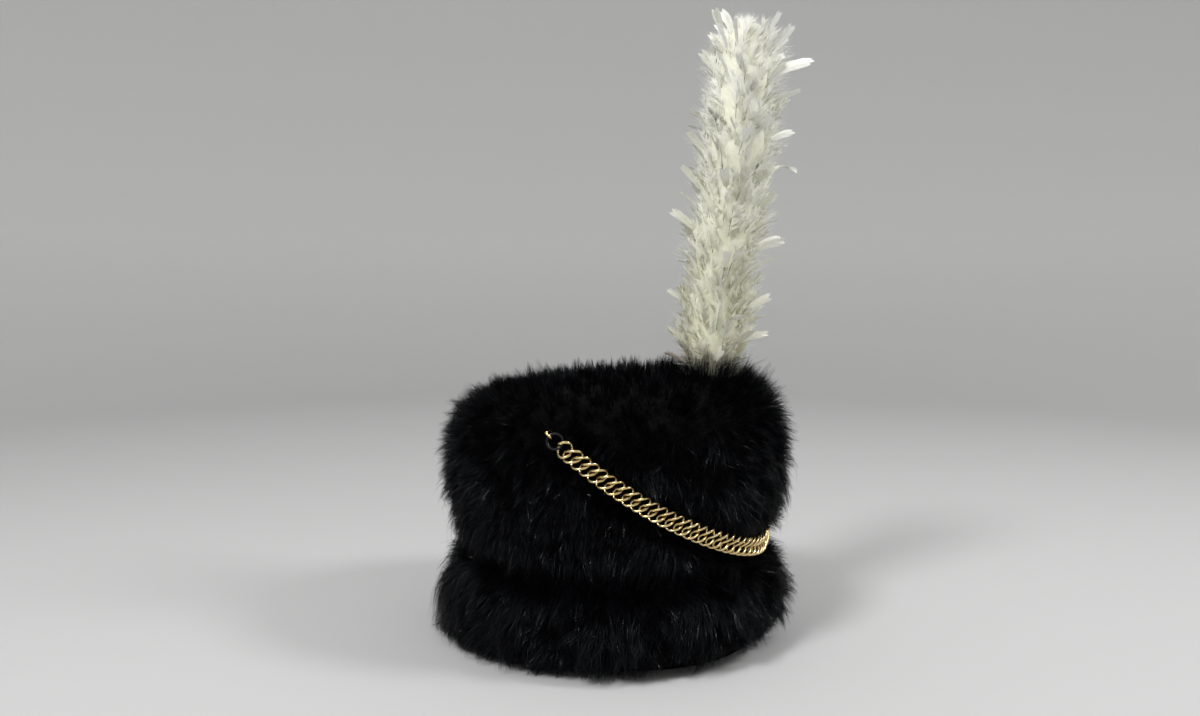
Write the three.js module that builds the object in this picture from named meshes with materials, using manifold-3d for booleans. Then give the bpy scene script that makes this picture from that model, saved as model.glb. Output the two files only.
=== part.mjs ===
// A fur busby: a deep-pile crown sewn to a lower fur band, a feather plume standing in the
// front of the top, and a curb chain hung across the front from a ring and an eye at each side.
// Millimetres, +Z up. The front faces -Y, and the origin is the centre of the rim it stands on.
import * as THREE from "three";
import { mergeVertices } from "three/addons/utils/BufferGeometryUtils.js";
import Module from "manifold-3d";

const wasm = await Module();
wasm.setup();

// Driving dimensions
const GAP = 0.3; // clearance between separate pieces
const HEAD = { length: 200, width: 170, depth: 160, shoulder: 26 }; // the hollow the head goes into
const AROUND = 64; // sides of each oval section
const SEAM = 69; // height of the sewn crease between the band and the crown
const TOP_RISE = 12; // how much higher the front of the top stands than its back

// Fur outlines from bottom to top. height is above the rim, and reach is how far the pile
// stands out from the head oval.
const BAND_SECTIONS = [
  { height: 0, reach: 20 },
  { height: 5, reach: 25 },
  { height: 16, reach: 26.5 },
  { height: 34, reach: 25 },
  { height: 50, reach: 21.5 },
  { height: 61, reach: 17.5 },
  { height: SEAM - GAP / 2, reach: 12 },
];
const CROWN_SECTIONS = [
  { height: SEAM + GAP / 2, reach: 12 },
  { height: 77, reach: 18 },
  { height: 92, reach: 20.5 },
  { height: 113, reach: 25 },
  { height: 138, reach: 24.5 },
  { height: 157, reach: 20.5 },
  { height: 171, reach: 12 },
  { height: 182, reach: -3 },
  { height: 187.5, reach: -25 },
  { height: 190, reach: -60 },
];
const FRONT_TUCK = { depth: 11, height: 28 }; // the band's foot turns under more towards the front
const CROWN_ROWS = 28;
const BAND_ROWS = 11;
const TOP_HEIGHT = 190.5; // middle of the closed top

// The chain hangs from eyes at the sides and dips to the front, and presses a groove in the pile.
const CHAIN = {
  frontHeight: 72,
  rise: 85.8, // from the front up to the eyes
  sag: 2.15, // power of the dip's curve
  eyeTurn: THREE.MathUtils.degToRad(97), // from the front round to each eye
  frontReach: 4, // floor of the groove at the front, as a reach
  eyeReach: 19.2, // and at the eyes
  grooveHalf: 14, // half the groove's width
  grooveFade: THREE.MathUtils.degToRad(7), // how soon the groove ends past the eyes
};
const LINK = {
  count: 60,
  wire: 1.5,
  frontWidth: 14.2,
  endWidth: 12.6,
  twist: -0.8, // turn of each end about the chain's line
  slant: 0.35, // how far the top of a link stands ahead of its bottom
  bite: 0.45,
  joint: 0.55, // clearance between the end links of two stretches
};
const LINK_STEPS = { along: 10, round: 5 };
const RING = { wire: 1.7, half: 4.9, lean: -0.5 }; // half is from the centre to the wire's middle
const EYE = { wire: 1.5, half: 2.4, lean: 1.15, shank: 13, shankSides: 8 };
const LOOP_STEPS = { along: 18, round: 6 };
const CHAIN_LIFT = 3.9; // the chain's middle above the groove's floor

// The plume leans forward from a socket in the top. along is measured up its axis from the top.
const PLUME = { forward: 69, lean: THREE.MathUtils.degToRad(6.5), socket: 10, sides: 20 };
const PLUME_SECTIONS = [
  { along: -9, radius: 17 },
  { along: 0, radius: 20 },
  { along: 16, radius: 25.5 },
  { along: 45, radius: 28 },
  { along: 80, radius: 27 },
  { along: 115, radius: 29 },
  { along: 150, radius: 28 },
  { along: 190, radius: 29 },
  { along: 213, radius: 27 },
  { along: 229, radius: 20 },
  { along: 239, radius: 10 },
];
const PLUME_TIP = 243;
const STEM = { radius: 3, inPlume: 60, inCrown: 12, sides: 12 };
const SOCKET_CUT = 60; // length of the socket's cut, which runs out above the crown

const FUR = { color: 0x0b0c0e, roughness: 0.75, metalness: 0 };
const FEATHER = { color: 0xe6e6d6, roughness: 0.85, metalness: 0 };
const GILT = { color: 0xd9b865, roughness: 0.28, metalness: 1 };
const BLACK_METAL = { color: 0x15151a, roughness: 0.3, metalness: 0.8 };
const STEM_WIRE = { color: 0x8c8577, roughness: 0.5, metalness: 0.6 };

// Solids from geometries, and back
function solidOf(geometry) {
  const bare = geometry.clone();
  bare.deleteAttribute("normal");
  bare.deleteAttribute("uv");
  const merged = mergeVertices(bare, 1e-4);
  return new wasm.Manifold(
    new wasm.Mesh({
      numProp: 3,
      vertProperties: merged.attributes.position.array,
      triVerts: new Uint32Array(merged.index.array),
    }),
  );
}

function geometryOf(solid) {
  const mesh = solid.getMesh();
  const geometry = new THREE.BufferGeometry();
  geometry.setAttribute("position", new THREE.BufferAttribute(mesh.vertProperties, 3));
  geometry.setIndex(new THREE.BufferAttribute(mesh.triVerts, 1));
  geometry.computeVertexNormals();
  return geometry;
}

function joined(geometries) {
  return geometries.map(solidOf).reduce((whole, next) => whole.add(next));
}

// A closed surface through rings of equal point counts. A ring of one point is a pole, and
// without poles the last ring joins the first.
function loft(rings) {
  const points = [];
  const faces = [];
  const starts = rings.map((ring) => {
    const start = points.length;
    points.push(...ring);
    return start;
  });
  const pairs = rings.length - (rings[0].length === 1 ? 1 : 0);
  for (let r = 0; r < pairs; r++) {
    const s = (r + 1) % rings.length;
    const sides = Math.max(rings[r].length, rings[s].length);
    for (let i = 0; i < sides; i++) {
      const j = (i + 1) % sides;
      const at = (ring, k) => starts[ring] + (rings[ring].length === 1 ? 0 : k);
      if (rings[r].length > 1) faces.push(at(r, i), at(r, j), at(s, i));
      if (rings[s].length > 1) faces.push(at(s, i), at(r, j), at(s, j));
    }
  }
  const geometry = new THREE.BufferGeometry().setFromPoints(points);
  geometry.setIndex(faces);
  return geometry;
}

// Where a point at that turn from the front, reach and height lies. The top is higher in front.
function onOval(turn, reach, height) {
  const x = (HEAD.width / 2 + reach) * Math.sin(turn);
  const y = -(HEAD.length / 2 + reach) * Math.cos(turn);
  const share = Math.max(0, (height - SEAM) / (TOP_HEIGHT - SEAM));
  return new THREE.Vector3(x, y, height - (TOP_RISE / HEAD.length) * y * share);
}

function chainHeight(turn) {
  const share = Math.abs(turn) / CHAIN.eyeTurn;
  return CHAIN.frontHeight + CHAIN.rise * share ** CHAIN.sag;
}

// The groove is as wide across the chain where the chain climbs, so it is taller there.
function grooveHalfHeight(turn) {
  const share = Math.min(1, Math.abs(turn) / CHAIN.eyeTurn);
  const round = CHAIN.eyeTurn * (HEAD.length / 2 + grooveReach(turn));
  const climb = (CHAIN.rise * CHAIN.sag * share ** (CHAIN.sag - 1)) / round;
  return CHAIN.grooveHalf * Math.hypot(1, climb);
}

function grooveReach(turn) {
  const share = Math.min(1, Math.abs(turn) / CHAIN.eyeTurn);
  return THREE.MathUtils.lerp(CHAIN.frontReach, CHAIN.eyeReach, share);
}

// The pile's reach once its foot is tucked in and the chain's groove is pressed into it
function furReach(turn, reach, height) {
  const low = Math.max(0, 1 - height / FRONT_TUCK.height);
  const tucked = reach - FRONT_TUCK.depth * low ** 2 * ((1 + Math.cos(turn)) / 2) ** 1.5;
  const past = Math.max(0, Math.abs(turn) - CHAIN.eyeTurn) / CHAIN.grooveFade;
  const away = (height - chainHeight(turn)) / grooveHalfHeight(turn);
  const pressed = Math.exp(-(away ** 4) - past ** 2);
  return THREE.MathUtils.lerp(tucked, Math.min(tucked, grooveReach(turn)), pressed);
}

function turns() {
  return Array.from({ length: AROUND }, (_, i) => {
    const turn = (i / AROUND) * 2 * Math.PI;
    return turn > Math.PI ? turn - 2 * Math.PI : turn;
  });
}

// Rings of the outer fur, from the first section to the last
function furRings(sections, rows) {
  const outline = new THREE.SplineCurve(sections.map((s) => new THREE.Vector2(s.reach, s.height)));
  return outline.getSpacedPoints(rows).map((p) =>
    turns().map((turn) => onOval(turn, furReach(turn, p.x, p.y), p.y)),
  );
}

function hollowRing(height, inset = 0) {
  return turns().map((turn) => {
    const p = onOval(turn, -inset, 0);
    return p.setZ(height);
  });
}

function bandGeometry() {
  const inner = [SEAM - GAP / 2, SEAM / 2, 0].map((height) => hollowRing(height));
  return loft([...furRings(BAND_SECTIONS, BAND_ROWS), ...inner]);
}

// The hollow's walls rise straight and then round over a shoulder into the ceiling.
function crownGeometry() {
  const shoulderFoot = HEAD.depth - HEAD.shoulder;
  const shoulder = [0, 0.25, 0.5, 0.75, 1].map((share) => {
    const angle = (share * Math.PI) / 2;
    const inset = HEAD.shoulder * (1 - Math.cos(angle));
    return hollowRing(shoulderFoot + HEAD.shoulder * Math.sin(angle), inset);
  });
  const ceiling = [new THREE.Vector3(0, 0, HEAD.depth)];
  const walls = [SEAM + GAP / 2, (SEAM + shoulderFoot) / 2].map((height) => hollowRing(height));
  const top = [new THREE.Vector3(0, 0, TOP_HEIGHT)];
  const hollow = [ceiling, ...shoulder.reverse(), ...walls.reverse()];
  return loft([...hollow, ...furRings(CROWN_SECTIONS, CROWN_ROWS), top]);
}

// The chain's middle line, from the wearer's right eye (-X) round the front to the left eye
class ChainRoute extends THREE.Curve {
  turnAt(share) {
    return THREE.MathUtils.lerp(-CHAIN.eyeTurn, CHAIN.eyeTurn, share);
  }

  getPoint(share, target = new THREE.Vector3()) {
    const turn = this.turnAt(share);
    return target.copy(onOval(turn, grooveReach(turn) + CHAIN_LIFT, chainHeight(turn)));
  }
}

const route = new ChainRoute();
route.arcLengthDivisions = 800;
const ROUTE_LENGTH = route.getLength();

// The place at that length along the route: x runs along the chain, y up it and z out from the fur
function placeAt(length) {
  const share = THREE.MathUtils.clamp(length / ROUTE_LENGTH, 0, 1);
  const turn = route.turnAt(route.getUtoTmapping(share));
  const along = route.getTangentAt(share);
  const out = new THREE.Vector3(Math.sin(turn) / HEAD.width, -Math.cos(turn) / HEAD.length, 0).normalize();
  const up = out.clone().cross(along).normalize();
  out.crossVectors(along, up);
  return new THREE.Matrix4().makeBasis(along, up, out).setPosition(route.getPointAt(share));
}

// A closed loop of wire: its plane leans about the chain's line, twist turns its two ends apart,
// and slant pushes its top ahead along the chain.
class Loop extends THREE.Curve {
  constructor(half, halfWidth, lean, twist = 0, slant = 0) {
    super();
    Object.assign(this, { half, halfWidth, lean, twist, slant });
  }

  getPoint(share, target = new THREE.Vector3()) {
    const u = share * 2 * Math.PI;
    const angle = this.lean + this.twist * Math.cos(u);
    const side = this.halfWidth * Math.sin(u);
    const along = this.half * Math.cos(u) + this.slant * side;
    return target.set(along, side * Math.cos(angle), side * Math.sin(angle));
  }
}

function loopGeometry(loop, wire, steps, length) {
  const tube = new THREE.TubeGeometry(loop, steps.along, wire / 2, steps.round, true);
  return tube.applyMatrix4(placeAt(length));
}

function rod(from, to, radius, sides) {
  const run = to.clone().sub(from);
  const geometry = new THREE.CylinderGeometry(radius, radius, run.length(), sides);
  const turn = new THREE.Quaternion().setFromUnitVectors(new THREE.Vector3(0, 1, 0), run.normalize());
  geometry.applyQuaternion(turn);
  const middle = from.clone().lerp(to, 0.5);
  return geometry.translate(middle.x, middle.y, middle.z);
}

// Lengths along the route at which the eye, the ring and the links lie. Links of one stretch bite
// into each other, and separate pieces keep the gap.
const STRETCHES = ["chain_right", "chain_front", "chain_left"];
const PER_STRETCH = LINK.count / STRETCHES.length;
const EYE_TO_RING = EYE.half + RING.half - (EYE.wire + RING.wire) / 2 - GAP;
const RING_TO_LINK = RING.half - (RING.wire + LINK.wire) / 2 - GAP;
const FREE_JOINTS = STRETCHES.length - 1;
const BITE_JOINTS = LINK.count - 1 - FREE_JOINTS;
const LINK_HALF =
  (ROUTE_LENGTH -
    2 * (EYE.half + EYE_TO_RING + RING_TO_LINK) +
    BITE_JOINTS * (LINK.wire - LINK.bite) +
    FREE_JOINTS * (LINK.wire + LINK.joint)) /
  (2 * LINK.count);

function linkPlaces() {
  const places = [];
  let length = EYE.half + EYE_TO_RING + RING_TO_LINK + LINK_HALF;
  for (let i = 0; i < LINK.count; i++) {
    places.push(length);
    const free = (i + 1) % PER_STRETCH === 0;
    length += 2 * LINK_HALF - LINK.wire + (free ? -LINK.joint : LINK.bite);
  }
  return places;
}

function linkGeometry(index, length) {
  const middle = (LINK.count - 1) / 2;
  const share = Math.abs(index - middle) / middle;
  const width = THREE.MathUtils.lerp(LINK.frontWidth, LINK.endWidth, share);
  const slant = share < 1 ? LINK.slant : 0;
  const loop = new Loop(LINK_HALF, (width - LINK.wire) / 2, 0, LINK.twist, slant);
  return loopGeometry(loop, LINK.wire, LINK_STEPS, length);
}

function chainStretches() {
  const links = linkPlaces().map((length, index) => linkGeometry(index, length));
  return STRETCHES.map((_, s) => joined(links.slice(s * PER_STRETCH, (s + 1) * PER_STRETCH)));
}

// side is -1 at the wearer's right, where the route starts, and 1 at the left, where it ends
function fromEnd(side, length) {
  return side < 0 ? length : ROUTE_LENGTH - length;
}

function ringSolid(side) {
  const loop = new Loop(RING.half, RING.half, -side * RING.lean);
  return solidOf(loopGeometry(loop, RING.wire, LOOP_STEPS, fromEnd(side, EYE.half + EYE_TO_RING)));
}

function shankGeometry(side, grow) {
  const place = placeAt(fromEnd(side, 0));
  const head = new THREE.Vector3(0, 0, grow).applyMatrix4(place);
  const point = new THREE.Vector3(0, 0, -EYE.shank - grow).applyMatrix4(place);
  return rod(head, point, EYE.wire / 2 + grow, EYE.shankSides);
}

function eyeSolid(side) {
  const loop = new Loop(EYE.half, EYE.half, -side * EYE.lean);
  const ring = loopGeometry(loop, EYE.wire, LOOP_STEPS, fromEnd(side, EYE.half));
  return joined([ring, shankGeometry(side, 0)]);
}

// The plume's own line, from the top of the crown upward
const PLUME_FOOT = new THREE.Vector3(0, -PLUME.forward, TOP_HEIGHT);
const PLUME_AXIS = new THREE.Vector3(0, -Math.sin(PLUME.lean), Math.cos(PLUME.lean));

function onPlume(along) {
  return PLUME_FOOT.clone().addScaledVector(PLUME_AXIS, along);
}

function plumeRing(along, radius) {
  const tilt = new THREE.Quaternion().setFromUnitVectors(new THREE.Vector3(0, 0, 1), PLUME_AXIS);
  return Array.from({ length: PLUME.sides }, (_, i) => {
    const turn = (i / PLUME.sides) * 2 * Math.PI;
    const spoke = new THREE.Vector3(radius * Math.cos(turn), radius * Math.sin(turn), 0);
    return spoke.applyQuaternion(tilt).add(onPlume(along));
  });
}

// The feathers' outer form, with a blind hole up its middle for the stem
function plumeGeometry() {
  const foot = PLUME_SECTIONS[0].along;
  const bore = STEM.radius + GAP;
  const boreTop = STEM.inPlume + GAP;
  const hole = [[onPlume(boreTop)], plumeRing(boreTop, bore), plumeRing(foot, bore)];
  const outer = PLUME_SECTIONS.map((s) => plumeRing(s.along, s.radius));
  return loft([...hole, ...outer, [onPlume(PLUME_TIP)]]);
}

function stemGeometry(grow) {
  const foot = onPlume(-PLUME.socket - STEM.inCrown - grow);
  return rod(foot, onPlume(STEM.inPlume), STEM.radius + grow, STEM.sides);
}

function plumeSocket() {
  const foot = PLUME_SECTIONS[0];
  const rim = onPlume(foot.along + SOCKET_CUT);
  return rod(onPlume(foot.along - GAP), rim, PLUME_SECTIONS[2].radius + GAP, PLUME.sides);
}

function crownSolid() {
  const cuts = [plumeSocket(), stemGeometry(GAP), shankGeometry(-1, GAP), shankGeometry(1, GAP)];
  return cuts.reduce((whole, cut) => whole.subtract(solidOf(cut)), solidOf(crownGeometry()));
}

function piece(name, solid, look) {
  const mesh = new THREE.Mesh(geometryOf(solid), new THREE.MeshStandardMaterial(look));
  mesh.name = name;
  mesh.material.name = name;
  return mesh;
}

const busby = new THREE.Group();
busby.name = "busby";
busby.add(piece("fur_crown", crownSolid(), FUR));
busby.add(piece("fur_band", solidOf(bandGeometry()), FUR));
busby.add(piece("plume", solidOf(plumeGeometry()), FEATHER));
busby.add(piece("plume_stem", solidOf(stemGeometry(0)), STEM_WIRE));
chainStretches().forEach((solid, s) => busby.add(piece(STRETCHES[s], solid, GILT)));
busby.add(piece("chain_ring_right", ringSolid(-1), BLACK_METAL));
busby.add(piece("chain_ring_left", ringSolid(1), BLACK_METAL));
busby.add(piece("chain_eye_right", eyeSolid(-1), GILT));
busby.add(piece("chain_eye_left", eyeSolid(1), GILT));

export default busby;
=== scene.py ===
"""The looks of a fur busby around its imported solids: deep black pile on a dark hide, a plume of
off-white feathers, and a gilt curb chain between two black rings. Sizes are in millimetres, +Z up,
with the front at -Y, and become metres where a mesh is made."""

import math

import bpy
import numpy as np
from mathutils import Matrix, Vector


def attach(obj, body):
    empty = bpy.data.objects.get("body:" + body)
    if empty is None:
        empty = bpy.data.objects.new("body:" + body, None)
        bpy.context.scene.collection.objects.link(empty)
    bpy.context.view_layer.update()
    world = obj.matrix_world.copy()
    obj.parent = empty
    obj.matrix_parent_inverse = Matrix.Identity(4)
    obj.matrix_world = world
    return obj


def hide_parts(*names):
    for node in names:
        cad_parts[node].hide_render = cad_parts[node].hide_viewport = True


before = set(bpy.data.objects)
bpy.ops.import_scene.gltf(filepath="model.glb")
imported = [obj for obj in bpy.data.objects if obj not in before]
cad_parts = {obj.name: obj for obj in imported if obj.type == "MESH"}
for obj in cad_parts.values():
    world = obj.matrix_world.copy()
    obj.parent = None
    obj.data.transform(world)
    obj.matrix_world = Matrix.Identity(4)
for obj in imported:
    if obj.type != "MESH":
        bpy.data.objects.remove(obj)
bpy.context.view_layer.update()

MM = 0.001
SEED = 1815
COLUMNS = 128  # strips of the strand map, one shade in each
GUARD_COLUMN = 114  # from here on the fur's strands are glossy guard hairs

# The solids' own sizes, repeated from the part
HEAD = {"length": 200.0, "width": 170.0, "depth": 160.0, "shoulder": 26.0}
SEAM = 69.0
HALF_GAP = 0.15
TOP_RISE = 12.0
TOP_HEIGHT = 190.5
FRONT_TUCK = {"depth": 11.0, "height": 28.0}
CHAIN = {
    "front_height": 72.0,
    "rise": 85.8,
    "sag": 2.15,
    "eye_turn": math.radians(97),
    "front_reach": 4.0,
    "eye_reach": 19.2,
    "groove_half": 14.0,
    "groove_fade": math.radians(7),
    "lift": 3.9,
}
# height above the rim, reach out from the head oval
BAND_SECTIONS = [(0, 20), (5, 25), (16, 26.5), (34, 25), (50, 21.5), (61, 17.5), (68.85, 12)]
CROWN_SECTIONS = [
    (69.15, 12),
    (77, 18),
    (92, 20.5),
    (113, 25),
    (138, 24.5),
    (157, 20.5),
    (171, 12),
    (182, -3),
    (187.5, -25),
    (190, -60),
    (190.5, -84),
]


def unit(v):
    return v / np.maximum(np.linalg.norm(v, axis=-1, keepdims=True), 1e-9)


def lerp(a, b, share):
    return a + (b - a) * share


def on_oval(turn, reach, height):
    x = (HEAD["width"] / 2 + reach) * np.sin(turn)
    y = -(HEAD["length"] / 2 + reach) * np.cos(turn)
    share = np.maximum(0, (height - SEAM) / (TOP_HEIGHT - SEAM))
    return np.stack([x, y, height - (TOP_RISE / HEAD["length"]) * y * share], axis=-1)


def wrapped(turn):
    return (turn + np.pi) % (2 * np.pi) - np.pi


def eye_share(turn):
    return np.abs(turn) / CHAIN["eye_turn"]


def chain_height(turn):
    return CHAIN["front_height"] + CHAIN["rise"] * eye_share(turn) ** CHAIN["sag"]


def groove_reach(turn):
    return lerp(CHAIN["front_reach"], CHAIN["eye_reach"], np.minimum(1, eye_share(turn)))


def groove_half_height(turn, half):
    round_way = CHAIN["eye_turn"] * (HEAD["length"] / 2 + groove_reach(turn))
    share = np.minimum(1, eye_share(turn))
    climb = CHAIN["rise"] * CHAIN["sag"] * share ** (CHAIN["sag"] - 1) / round_way
    return half * np.hypot(1, climb)


def groove_press(turn, height, half):
    """How deep in the chain's groove a place is, from 0 outside it to 1 under the chain."""
    past = np.maximum(0, np.abs(turn) - CHAIN["eye_turn"]) / CHAIN["groove_fade"]
    away = (height - chain_height(turn)) / groove_half_height(turn, half)
    return np.exp(-(away**4) - past**2)


def fur_reach(turn, reach, height, half):
    low = np.maximum(0, 1 - height / FRONT_TUCK["height"])
    tucked = reach - FRONT_TUCK["depth"] * low**2 * ((1 + np.cos(turn)) / 2) ** 1.5
    pressed = groove_press(turn, height, half)
    return lerp(tucked, np.minimum(tucked, groove_reach(turn)), pressed)


class Pile:
    """The outer form of one fur piece, placed by a turn from the front and a share up its outline."""

    def __init__(self, sections, groove_half, samples=600):
        self.groove_half = groove_half
        points = np.array([(reach, height) for height, reach in sections], float)
        padded = np.vstack([points[0], points, points[-1]])
        at = np.linspace(0, len(points) - 1, samples)
        span = np.minimum(at.astype(int), len(points) - 2)
        t = (at - span)[:, None]
        p0, p1, p2, p3 = (padded[span + k] for k in range(4))
        v0, v1 = (p2 - p0) / 2, (p3 - p1) / 2
        curve = p1 + v0 * t
        curve += (3 * (p2 - p1) - 2 * v0 - v1) * t**2 + (2 * (p1 - p2) + v0 + v1) * t**3
        steps = np.linalg.norm(np.diff(curve, axis=0), axis=1)
        self.share = np.concatenate([[0], np.cumsum(steps)]) / steps.sum()
        self.reach, self.height = curve[:, 0], curve[:, 1]
        self.length = steps.sum()

    def outline(self, share):
        share = np.clip(share, 0, 1)
        reach = np.interp(share, self.share, self.reach)
        return reach, np.interp(share, self.share, self.height)

    def at(self, turn, share):
        turn = wrapped(turn)
        reach, height = self.outline(share)
        return on_oval(turn, fur_reach(turn, reach, height, self.groove_half), height)

    def frame(self, turn, share, step=0.004):
        """Outward normal, the way down the pile and the way round it."""
        low, high = np.maximum(share - step, 0), np.minimum(share + step, 1)
        up = unit(self.at(turn, high) - self.at(turn, low))
        around = unit(self.at(turn + step, share) - self.at(turn - step, share))
        out = unit(np.cross(around, up))
        return out, -up, unit(np.cross(out, -up))

    def thickness(self, turn, share):
        """Depth of pile over the head oval, or over the ceiling on the top."""
        reach, height = self.outline(share)
        on_top = np.clip((height - 150) / 20, 0, 1)
        return lerp(fur_reach(wrapped(turn), reach, height, self.groove_half), 26.0, on_top)

    def pressed(self, turn, share):
        return groove_press(wrapped(turn), self.outline(share)[1], self.groove_half)

    def scatter(self, rng, count, low=0.0, high=1.0, first=-np.pi, last=np.pi):
        """Turns and shares of places spread evenly over a patch of the surface."""
        rows, sides = 160, 240
        share = np.linspace(low, high, rows + 1)
        turn = np.linspace(first, last, sides + 1)
        grid = self.at(*np.meshgrid(turn, share))
        across = np.linalg.norm(grid[:-1, 1:] - grid[:-1, :-1], axis=-1)
        up = np.linalg.norm(grid[1:, :-1] - grid[:-1, :-1], axis=-1)
        reached = np.cumsum((across * up).ravel())
        wanted = (np.arange(count) + rng.random(count)) / count * reached[-1]
        cell = np.searchsorted(reached, wanted).clip(0, rows * sides - 1)
        row, side = np.divmod(cell, sides)
        shares = low + (row + rng.random(count)) / rows * (high - low)
        return first + (side + rng.random(count)) / sides * (last - first), shares


# Materials
def srgb(red, green, blue):
    values = np.array([red, green, blue]) / 255
    linear = np.where(values <= 0.04045, values / 12.92, ((values + 0.055) / 1.055) ** 2.4)
    return (*linear.tolist(), 1.0)


def new_material(name, **sockets):
    """A principled material, with these values set on its own sockets."""
    material = bpy.data.materials.new(name)
    material.use_nodes = True
    shader = material.node_tree.nodes["Principled BSDF"]
    for socket, value in sockets.items():
        shader.inputs[socket.replace("_", " ")].default_value = value
    return material, material.node_tree, shader


def add_ramp(tree, factor, stops):
    ramp = tree.nodes.new("ShaderNodeValToRGB")
    while len(ramp.color_ramp.elements) < len(stops):
        ramp.color_ramp.elements.new(1.0)
    for element, (place, color) in zip(ramp.color_ramp.elements, stops):
        element.position = place
        element.color = color
    tree.links.new(factor, ramp.inputs["Fac"])
    return ramp.outputs["Color"]


def multiplied(tree, one, two):
    mix = tree.nodes.new("ShaderNodeMix")
    mix.data_type = "RGBA"
    mix.blend_type = "MULTIPLY"
    mix.inputs["Factor"].default_value = 1.0
    tree.links.new(one, mix.inputs["A"])
    tree.links.new(two, mix.inputs["B"])
    return mix.outputs["Result"]


def strand_material(name, across_stops, along_stops, **sockets):
    """Colour from the strand map: each column has its shade, and each strand runs from root to tip."""
    material, tree, shader = new_material(name, **sockets)
    strand_map = tree.nodes.new("ShaderNodeUVMap")
    strand_map.uv_map = "OFBake"
    parts = tree.nodes.new("ShaderNodeSeparateXYZ")
    tree.links.new(strand_map.outputs["UV"], parts.inputs["Vector"])
    across = add_ramp(tree, parts.outputs["X"], across_stops)
    along = add_ramp(tree, parts.outputs["Y"], along_stops)
    tree.links.new(multiplied(tree, across, along), shader.inputs["Base Color"])
    return material


def mottled_material(name, scale, stops, bump, bump_scale, **sockets):
    """Colour from noise in the object's own space, with a fine bump of its own scale."""
    material, tree, shader = new_material(name, **sockets)
    place = tree.nodes.new("ShaderNodeTexCoord")
    noise = tree.nodes.new("ShaderNodeTexNoise")
    noise.inputs["Scale"].default_value = scale
    noise.inputs["Detail"].default_value = 5.0
    tree.links.new(place.outputs["Object"], noise.inputs["Vector"])
    color = add_ramp(tree, noise.outputs["Fac"], stops)
    tree.links.new(color, shader.inputs["Base Color"])
    grain = tree.nodes.new("ShaderNodeTexNoise")
    grain.inputs["Scale"].default_value = bump_scale
    grain.inputs["Detail"].default_value = 4.0
    relief = tree.nodes.new("ShaderNodeBump")
    relief.inputs["Strength"].default_value = bump
    relief.inputs["Distance"].default_value = MM
    tree.links.new(place.outputs["Object"], grain.inputs["Vector"])
    tree.links.new(grain.outputs["Fac"], relief.inputs["Height"])
    tree.links.new(relief.outputs["Normal"], shader.inputs["Normal"])
    return material


HAIR = strand_material(
    "black_fur",
    [(0.0, (0.5, 0.5, 0.55, 1)), (0.8, (0.9, 0.95, 1.1, 1)), (1.0, (1.1, 0.95, 0.85, 1))],
    [
        (0.0, (0.0008, 0.0008, 0.0011, 1)),
        (0.6, (0.002, 0.0021, 0.0028, 1)),
        (1.0, (0.0032, 0.0034, 0.0044, 1)),
    ],
    Roughness=0.32,
    Specular_IOR_Level=0.09,
    Specular_Tint=(0.82, 0.9, 1.0, 1),
)
GUARD_HAIR = strand_material(
    "black_guard_hair",
    [(0.0, (0.6, 0.6, 0.65, 1)), (1.0, (1.0, 1.0, 1.1, 1))],
    [(0.0, (0.001, 0.001, 0.0013, 1)), (1.0, (0.004, 0.0042, 0.005, 1))],
    Roughness=0.2,
    Specular_IOR_Level=0.5,
)
HIDE = mottled_material(
    "dark_hide",
    90.0,
    [(0.3, (0.0006, 0.0006, 0.0008, 1)), (0.7, (0.0014, 0.0014, 0.0018, 1))],
    bump=0.8,
    bump_scale=700.0,
    Roughness=0.9,
    Specular_IOR_Level=0.1,
)
LINING = mottled_material(
    "lining_leather",
    60.0,
    [(0.3, srgb(34, 27, 22)), (0.7, srgb(56, 45, 36))],
    bump=0.5,
    bump_scale=900.0,
    Roughness=0.6,
    Specular_IOR_Level=0.3,
)
# The feather colour is partly painted shade. Each strand is darker and warmer at its root, standing in for
# the shade deep among the feathers. The low columns at the plume's foot are darker and warmer: partly the
# down's own tone, partly painted shade of the foot.
FEATHER = strand_material(
    "white_feather",
    [
        (0.0, srgb(226, 210, 192)),
        (0.12, srgb(248, 247, 234)),
        (0.55, srgb(252, 252, 246)),
        (1.0, srgb(255, 255, 253)),
    ],
    [
        (0.0, srgb(234, 232, 212)),
        (0.35, srgb(247, 247, 236)),
        (0.7, srgb(254, 254, 250)),
        (1.0, srgb(255, 255, 255)),
    ],
    Roughness=0.75,
    Specular_IOR_Level=0.15,
)
GILT = mottled_material(
    "polished_gilt",
    260.0,
    [(0.3, srgb(226, 198, 136)), (0.7, srgb(248, 228, 178))],
    bump=0.15,
    bump_scale=1500.0,
    Metallic=1.0,
    Roughness=0.24,
)
BLACK_METAL = mottled_material(
    "black_enamel",
    300.0,
    [(0.3, srgb(8, 8, 10)), (0.7, srgb(18, 18, 21))],
    bump=0.1,
    bump_scale=1200.0,
    Roughness=0.16,
    Specular_IOR_Level=0.35,
)
STEM_WIRE = mottled_material(
    "dull_wire",
    400.0,
    [(0.3, srgb(120, 112, 100)), (0.7, srgb(160, 152, 138))],
    bump=0.2,
    bump_scale=1200.0,
    Metallic=0.8,
    Roughness=0.45,
)


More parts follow.
